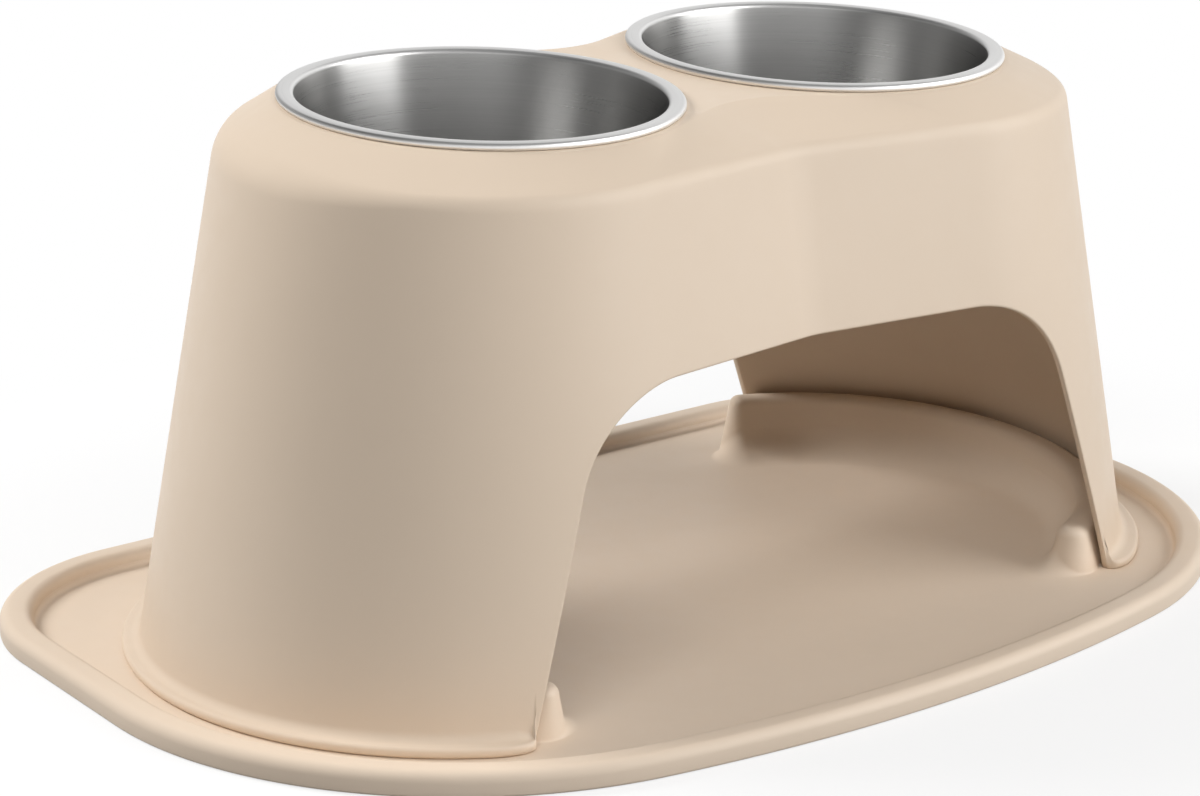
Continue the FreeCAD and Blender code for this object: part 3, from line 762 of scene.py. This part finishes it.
@dataclass
class Mat:
    """Soft mat: a floor inside a raised bead, and a locating ridge inside each foot of the stand."""

    plastic: Material
    half_length: float = 311.0
    half_depth: float = 202.5
    front_radius: float = 191.0
    front_sag: float = 12.0
    back_radius: float = 100.0
    back_narrowing: float = 7.0
    floor: float = 3.0
    bead_width: float = 16.0
    bead_height: float = 11.5
    bead_rounding: float = 5.1
    bead_under: float = 1.5
    bead_foot: float = 2.5
    bowl_line: float = 8.5
    ridge_reach: float = 123.0
    ridge_outer: float = 147.2
    ridge_outer_lean: float = 0.194
    ridge_inner: float = 124.2
    ridge_inner_lean: float = 0.158
    ridge_height: float = 28.7
    ridge_tilt: float = math.radians(2.5)
    ridge_half_sweep: float = math.radians(72.7)
    ridge_rounding: float = 5.5
    ridge_foot_inside: float = 18.0
    ridge_foot_outside: float = 0.8
    ridge_foot_taper: float = 1.64
    ridge_foot_limit: float = 0.75
    ridge_foot_turn: float = 0.93 * QUARTER
    ridge_cap: float = 0.8

    def outline(self, inset: float) -> Array:
        """Outline of the mat, drawn in from its edge: bowed front, leaning sides and a straight back.

        Args:
            inset: How far inside the mat's edge.

        Returns:
            The points, anticlockwise, level with the floor that the mat lies on.
        """
        front = np.array([self.half_length - self.front_radius,
                          -(self.half_depth - self.front_sag - self.front_radius)])
        back = np.array([self.half_length - self.back_narrowing - self.back_radius,
                         self.half_depth - self.back_radius])
        sag = self.front_sag
        bow = (front[0] ** 2 + 2 * self.front_radius * sag + sag ** 2) / (2 * sag)
        half_bow = math.asin(front[0] / (bow - self.front_radius))
        across = back - front
        narrowing = math.acos((self.front_radius - self.back_radius) / math.hypot(*across))
        lean = math.atan2(across[1], across[0]) - narrowing
        out = np.array([math.cos(lean), math.sin(lean)])
        right_half = np.concatenate([
            arc(front, self.front_radius - inset, evenly(half_bow - QUARTER, lean, 72)),
            evenly(front + (self.front_radius - inset) * out, back + (self.back_radius - inset) * out, 10),
            arc(back, self.back_radius - inset, evenly(lean, QUARTER, 44)),
        ])
        edge = np.array([[back[0], back[1] + self.back_radius - inset]])
        left_half = np.concatenate([right_half, edge])[::-1] * [-1, 1]
        straight = evenly(edge[0], edge[0] * [-1, 1], 24)
        bowed = arc((0.0, bow - self.half_depth), bow - inset, evenly(-QUARTER - half_bow, -QUARTER + half_bow, 48))
        loop = np.concatenate([right_half, straight, left_half[:-1], bowed])
        return np.column_stack([loop, np.zeros(len(loop))])

    def ridge_rows(self, side: int) -> list[Array]:
        """Rows of points round one locating ridge, from the floor up to its top.

        Args:
            side: Minus one for the ridge on the left, one for the right.

        Returns:
            The rows, each a closed loop.
        """
        def spine(level: Array) -> tuple[Array, Array]:
            """Radius of the ridge's middle and half its thickness, at heights above the floor."""
            outer = self.ridge_outer - self.ridge_outer_lean * (level + self.floor / 2)
            inner = self.ridge_inner + self.ridge_inner_lean * (level + self.floor / 2)
            return (outer + inner) / 2, (outer - inner) / 2

        middle, half = spine(np.zeros(1))
        sweep = self.ridge_half_sweep - half[0] / middle[0] * self.ridge_cap
        long_way = evenly(-1.0, 1.0, 90)
        cap = evenly(0.0, math.pi, 22)
        # For each column: the angle round the lobe, and how far its face is turned from straight outwards
        angle = np.concatenate([sweep * long_way, np.full(22, sweep), -sweep * long_way, np.full(22, -sweep)])
        turned = np.concatenate([np.zeros(90), cap, np.full(90, math.pi), math.pi + cap])
        outward, facing = arc((0.0, 0.0), 1.0, angle), arc((0.0, 0.0), 1.0, angle + turned)
        inside = 0.5 - 0.5 * np.cos(turned)
        wider = self.ridge_foot_inside - self.ridge_foot_outside
        foot = self.ridge_foot_outside + wider * inside ** self.ridge_foot_taper
        depth = (outward * middle[0])[:, 1]
        top = self.ridge_height + depth * math.tan(self.ridge_tilt)
        foot = np.minimum(foot, self.ridge_foot_limit * (top - self.ridge_rounding))

        def row(level: Array, extra: Array) -> Array:
            """A loop at heights above the floor, standing off the ridge's faces."""
            radius, thick = spine(level)
            flat = outward * radius[:, None] + facing * (thick + extra)[:, None]
            return np.column_stack([side * (self.ridge_reach + flat[:, 0]), self.bowl_line + flat[:, 1],
                                    self.floor + level])

        rows = []
        for turn in np.linspace(0.0, self.ridge_foot_turn, 8):
            level = foot * (1 - math.cos(turn))
            rows.append(row(level, foot * (1 - math.sin(turn))))
        base = foot * (1 - math.cos(self.ridge_foot_turn))
        crest = top - self.ridge_rounding
        for share in (0.06, 0.25, 0.5, 0.75, 0.94, 1.0):
            rows.append(row(base + (crest - base) * share, foot * 0.006 * (1 - share)))
        thick = spine(crest)[1]
        soft = np.minimum(self.ridge_rounding, thick - 0.4)
        for turn in np.linspace(0.0, QUARTER, 8)[1:]:
            level = crest + self.ridge_rounding * math.sin(turn)
            rows.append(row(level, thick - spine(level)[1] - soft * (1 - math.cos(turn))))
        return rows if side > 0 else [loop[::-1] for loop in rows]

    def build_floor(self) -> Object:
        """Builds the mat's floor with its two ridges as one closed skin.

        Returns:
            The floor's object.
        """
        maker = MeshMaker()
        middle = self.bead_width / 2
        inside, top = self.bead_width + self.bead_foot, self.floor + self.bead_foot
        curve = arc((inside, top), self.bead_foot, np.linspace(math.pi, 3 * QUARTER, 7))
        profile = [(middle, 0.0), (middle, top), *curve, (inside + 1.0, self.floor)]
        rows = [self.outline(inset) + [0.0, 0.0, level] for inset, level in profile]
        under, tray = maker.skin(rows)
        tops = [tray]
        for side in (-1, 1):
            foot, crest = maker.skin(self.ridge_rows(side))
            tops.append(foot)
            maker.fill(crest)
        maker.fill(*tops)
        maker.fill(under)
        return new_object("mat_floor", maker.finish("mat_floor"), self.plastic)

    def build_bead(self) -> Object:
        """Builds the bead, a rounded section that follows the edge of the mat.

        Returns:
            The bead's object.
        """
        rule = NodeRule("bead_along_edge", Bead_Width="Float", Bead_Height="Float", Rounding="Float",
                        Under_Rounding="Float", Rounding_Steps="Int", Material="Material")
        path = rule.out("MeshToCurve", {"Mesh": rule.given("Geometry")})
        level = rule.out("SetCurveNormal", {"Curve": path}, mode="Z_UP")
        block = rule.out("CurvePrimitiveQuadrilateral",
                         {"Width": rule.given("Bead_Width"), "Height": rule.given("Bead_Height")})
        down = rule.node("ShaderNodeSeparateXYZ", {"Vector": rule.out("InputPosition")}).outputs["Y"]
        under = rule.out("FunctionNodeCompare", {0: down}, data_type="FLOAT", operation="GREATER_THAN")
        radius = rule.out("Switch", {"Switch": under, "False": rule.given("Rounding"),
                                     "True": rule.given("Under_Rounding")}, input_type="FLOAT")
        section = rule.out("FilletCurve", {"Curve": block, "Radius": radius,
                                           "Count": rule.given("Rounding_Steps")}, mode="POLY")
        rule.close(rule.out("CurveToMesh", {"Curve": level, "Profile Curve": section}))
        line = (self.outline(self.bead_width / 2) + [0.0, 0.0, self.bead_height / 2]) * MM
        mesh = rule.make("mat_bead", line, True, Bead_Width=self.bead_width * MM, Bead_Height=self.bead_height * MM,
                         Rounding=self.bead_rounding * MM, Under_Rounding=self.bead_under * MM, Rounding_Steps=8,
                         Material=self.plastic)
        return new_object("mat_bead", outward(mesh), self.plastic)

    def dress(self) -> list[Object]:
        """Builds the mat and sets it in the frame in place of its solid."""
        pieces = [self.build_floor(), self.build_bead()]
        for piece in pieces:
            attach(piece, "mat")
            if piece.name == "mat_floor":
                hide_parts("mat")
        return pieces


def outward(mesh: Mesh) -> Mesh:
    """Turns the faces of a closed mesh outwards."""
    bm = bmesh.new()
    bm.from_mesh(mesh)
    bmesh.ops.remove_doubles(bm, verts=bm.verts, dist=1e-6)
    bmesh.ops.recalc_face_normals(bm, faces=bm.faces)
    bm.to_mesh(mesh)
    bm.free()
    return mesh


@dataclass
class Bowl:
    """Drawn steel bowl with a flat rim rolled over at its edge, leaning with its seat."""

    side: Side
    steel: Material
    rim_radius: float = 95.0
    rim_width: float = 8.5
    rim_thickness: float = 3.4
    lip_radius: float = 2.4
    depth: float = 74.0
    floor_radius: float = 60.0
    corner_radius: float = 18.0
    sheet: float = 1.0
    spacing: float = 210.0
    bowl_line: float = 8.5
    seat_height: float = 260.0
    lean: float = LEAN
    segments: int = 192

    def profile(self) -> Array:
        """Section of the bowl from the middle of its floor, over the rim and back to the axis underneath.

        Returns:
            Radius and height of each point, from the seat plane.
        """
        thick = self.rim_thickness
        edge = np.array([self.rim_radius - thick / 2, thick / 2])
        lip = np.array([self.rim_radius - self.rim_width + self.lip_radius, thick - self.lip_radius])
        corner = np.array([self.floor_radius, -(self.depth - self.sheet - self.corner_radius)])
        run = lip - corner
        lean = math.atan2(run[1], run[0]) - math.acos((self.lip_radius + self.corner_radius) / math.hypot(*run))
        out = np.array([math.cos(lean), math.sin(lean)])
        wall_top, wall_foot = lip - out * self.lip_radius, corner + out * self.corner_radius
        skin_foot = corner + out * (self.corner_radius + self.sheet)
        fall = (wall_top - wall_foot) / (wall_top - wall_foot)[1]
        skin_top = skin_foot - fall * skin_foot[1]
        crowned = np.linspace(0.0, 1.0, 7)[1:-1]
        rim = np.column_stack([lip[0] + (edge[0] - lip[0]) * crowned, thick + 0.12 * np.sin(math.pi * crowned)])
        pieces = [
            np.column_stack([evenly(0.0, self.floor_radius, 12), np.full(12, self.sheet - self.depth)]),
            arc(corner, self.corner_radius, np.linspace(-QUARTER, lean, 16)),
            evenly(wall_foot, wall_top, 20)[1:],
            arc(lip, self.lip_radius, np.linspace(math.pi + lean, QUARTER, 10)),
            rim,
            arc(edge, thick / 2, np.linspace(QUARTER, -QUARTER, 14)),
            np.linspace([edge[0], 0.0], skin_top, 4)[1:],
            evenly(skin_top, skin_foot, 16)[1:],
            arc(corner, self.corner_radius + self.sheet, np.linspace(lean, -QUARTER, 14)),
            np.column_stack([np.linspace(self.floor_radius, 0.0, 8)[1:], np.full(7, -self.depth)]),
        ]
        return np.concatenate(pieces)

    def map_brushing(self, mesh: Mesh) -> None:
        """Gives the bowl a map that runs round it and along its section, in metres from the start of the rim.

        Args:
            mesh: The bowl before it is put in its place, about the Z axis.
        """
        section = self.profile() * MM
        run = np.concatenate([[0.0], np.cumsum(np.linalg.norm(np.diff(section, axis=0), axis=1))])
        run -= run[np.argmax(section[:, 1] > (self.rim_thickness - 0.5 * self.lip_radius) * MM)]
        spots = np.empty((len(mesh.vertices), 3))
        mesh.vertices.foreach_get("co", spots.ravel())
        flat = np.column_stack([np.hypot(spots[:, 0], spots[:, 1]), spots[:, 2]])
        nearest = np.argmin(((flat[:, None, :] - section[None, :, :]) ** 2).sum(axis=2), axis=1)
        turn = np.arctan2(spots[:, 1], spots[:, 0]) / (2 * math.pi)
        layer = mesh.uv_layers.new(name="brush")
        for face in mesh.polygons:
            corners = [mesh.loops[i].vertex_index for i in face.loop_indices]
            rims = [c for c in corners if flat[c, 0] > 1e-5]
            first = turn[rims[0]]
            around = {c: first + (turn[c] - first + 0.5) % 1.0 - 0.5 for c in rims}
            middle = sum(around.values()) / len(around)
            for index, corner in zip(face.loop_indices, corners):
                layer.data[index].uv = (around.get(corner, middle), run[nearest[corner]])

    def build(self) -> Object:
        """Turns the bowl's section about its axis and sets it in its seat.

        Returns:
            The bowl's object.
        """
        rule = NodeRule("turned_" + self.side.label, Pitch_Radius="Float", Segments="Int", Weld="Float",
                        Material="Material")
        section = rule.out("MeshToCurve", {"Mesh": rule.given("Geometry")})
        circle = rule.out("CurvePrimitiveCircle", {"Radius": rule.given("Pitch_Radius"),
                                                   "Resolution": rule.given("Segments")})
        level = rule.out("SetCurveNormal", {"Curve": circle}, mode="Z_UP")
        turned = rule.out("CurveToMesh", {"Curve": level, "Profile Curve": section})
        rule.close(rule.out("MergeByDistance", {"Geometry": turned, "Distance": rule.given("Weld")}))
        pitch = self.floor_radius
        points = self.profile()
        line = np.column_stack([points[:, 0] - pitch, -points[:, 1], np.zeros(len(points))]) * MM
        mesh = rule.make(self.side.label, line, False, Pitch_Radius=pitch * MM, Segments=self.segments,
                         Weld=1e-6, Material=self.steel)
        outward(mesh)
        self.map_brushing(mesh)
        place = Vector((self.side.value * self.spacing / 2, self.bowl_line, self.seat_height)) * MM
        mesh.transform(Matrix.Translation(place) @ Matrix.Rotation(self.lean, 4, "X"))
        return new_object("turned_" + self.side.label, mesh, self.steel)

    def dress(self) -> list[Object]:
        """Builds the bowl and sets it in the frame in place of its solid."""
        piece = self.build()
        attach(piece, self.side.label)
        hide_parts(self.side.label)
        return [piece]


@dataclass(frozen=True)
class SoftBox:
    """A soft box: its place and side in metres, its power in watts and whether the steel mirrors it."""

    place: Triple
    size: float
    power: float
    mirrored: bool = False


@dataclass
class Studio:
    """White floor, soft boxes and the camera at the photograph's angle."""

    camera_place: Triple = (-0.9967, -1.1613, 0.5493)
    camera_look: Triple = (0.6095, 0.7407, -0.2827)
    lens: float = 96.87
    sensor: float = 36.0
    floor_size: float = 30.0
    floor_near: float = 0.36
    floor_far: float = 0.55
    floor_bounce: float = 0.3
    floor_glow: float = 0.7
    floor_white: float = 0.94
    floor_drop: float = 0.0002
    aim: Triple = (0.0, 0.0, 0.12)
    ambient: float = 0.08
    horizon: float = 0.45
    zenith: float = 0.75
    overhead: float = 0.25
    shaded_side: Triple = (-0.77, 0.635, 0.0)
    shaded_from: float = 0.15
    shaded_to: float = 0.55
    shaded: float = 0.35
    lamps: dict[Lamp, SoftBox] = field(default_factory=lambda: {
        Lamp.KEY: SoftBox((1.5, -1.88, 1.13), 2.2, 56.0, True),
        Lamp.FILL: SoftBox((-1.6, -1.2, 1.93), 1.4, 24.0),
        Lamp.RIM: SoftBox((-1.2, 1.81, 1.7), 1.1, 60.0),
        Lamp.TOP: SoftBox((-0.1, -1.0, 2.3), 1.6, 6.0),
    })

    def build_floor(self) -> None:
        """Lays a plain white floor that takes the object's shadow."""
        maker = MeshMaker()
        half = self.floor_size / 2 / MM
        corners = half * np.array([(-1, -1, 0), (1, -1, 0), (1, 1, 0), (-1, 1, 0)])
        maker.bm.faces.new(maker.loop(corners - [0, 0, self.floor_drop / MM]))
        finish = Finish("studio_floor")
        shaded = finish.out("BsdfDiffuse", {"Color": (self.floor_white,) * 3 + (1.0,)})
        dim = finish.out("BsdfDiffuse", {"Color": (self.floor_bounce,) * 3 + (1.0,)})
        white = finish.out("Emission", {"Strength": 1.0})
        away = finish.node("VectorMath", {0: finish.node("TexCoord").outputs["Object"]}, operation="LENGTH")
        far = finish.ramp(away.outputs["Value"], self.floor_near, self.floor_far, self.floor_glow,
                          interpolation_type="SMOOTHSTEP")
        plain = finish.out("MixShader", {0: far, 1: shaded, 2: white})
        path = finish.node("LightPath").outputs
        seen = finish.reckon("MAXIMUM", path["Is Camera Ray"], path["Is Glossy Ray"])
        shown = finish.out("MixShader", {0: seen, 1: dim, 2: plain})
        finish.join(shown, finish.tree.nodes["Material Output"].inputs["Surface"])
        finish.tree.nodes.remove(finish.shader)
        new_object("studio_floor", maker.finish("studio_floor"), finish.material)

    def build_world(self) -> None:
        """Surrounds the scene with white that the camera and the steel see in full, and softer light elsewhere."""
        world = bpy.data.worlds.new("studio")
        bpy.context.scene.world = world
        world.use_nodes = True
        sky = NodeGraph(world.node_tree, "ShaderNode")
        path = sky.node("LightPath").outputs
        way = sky.node("TexCoord").outputs["Generated"]
        height = sky.node("SeparateXYZ", {0: way}).outputs["Z"]
        upper = sky.ramp(height, self.horizon, self.zenith, 1.0, self.overhead)
        across = sky.node("VectorMath", {0: way, 1: self.shaded_side}, operation="DOT_PRODUCT").outputs["Value"]
        shade = sky.ramp(across, self.shaded_from, self.shaded_to, 1.0, self.shaded)
        mirrored = sky.reckon("MULTIPLY", upper, shade)
        lit = sky.out("Mix", {0: path["Is Glossy Ray"], 2: self.ambient, 3: mirrored})
        seen = sky.out("Mix", {0: path["Is Camera Ray"], 2: lit, 3: 1.0})
        background = sky.tree.nodes["Background"]
        background.inputs["Color"].default_value = (1.0, 1.0, 1.0, 1.0)
        sky.join(seen, background.inputs["Strength"])

    def build_lamps(self) -> None:
        """Hangs the soft boxes, each turned towards the feeder."""
        for lamp, soft in self.lamps.items():
            light = bpy.data.lights.new(lamp.value, "AREA")
            light.shape = "SQUARE"
            light.size = soft.size
            light.energy = soft.power
            box = placed(lamp.value, light)
            box.location = soft.place
            box.rotation_euler = (Vector(self.aim) - Vector(soft.place)).to_track_quat("-Z", "Y").to_euler()
            box.visible_glossy = soft.mirrored

    def build_camera(self) -> None:
        """Sets the camera where the photograph was taken from."""
        data = bpy.data.cameras.new("photo_camera")
        data.lens = self.lens
        data.sensor_width = self.sensor
        data.sensor_fit = "HORIZONTAL"
        data.clip_start = 0.05
        camera = placed("photo_camera", data)
        camera.location = self.camera_place
        camera.rotation_euler = Vector(self.camera_look).to_track_quat("-Z", "Y").to_euler()
        bpy.context.scene.camera = camera

    def dress(self) -> None:
        """Builds the whole studio."""
        self.build_floor()
        self.build_world()
        self.build_lamps()
        self.build_camera()
        bpy.context.scene.view_settings.view_transform = "Standard"


def main() -> None:
    """Builds the studio and the feeder."""
    logging.basicConfig(level=logging.INFO, format="%(name)s: %(message)s")
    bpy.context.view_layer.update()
    Studio().dress()
    stand_plastic = MouldedPlastic("stand_plastic", (0.735, 0.607, 0.48), (0.71, 0.584, 0.458)).make()
    # Painted light: the mat's tones are painted a little lighter than the stand's plastic, standing for light on the
    # mat
    mat_plastic = MouldedPlastic("mat_rubber", (0.775, 0.642, 0.512), (0.75, 0.619, 0.49), 0.48, 0.58).make()
    steel = BrushedSteel().make()
    for part in (Mat(mat_plastic), Stand(stand_plastic), *(Bowl(side, steel) for side in Side)):
        for piece in part.dress():
            LOG.info("%s: %d faces", piece.name, len(piece.data.polygons))


if __name__ == "__main__":
    main()
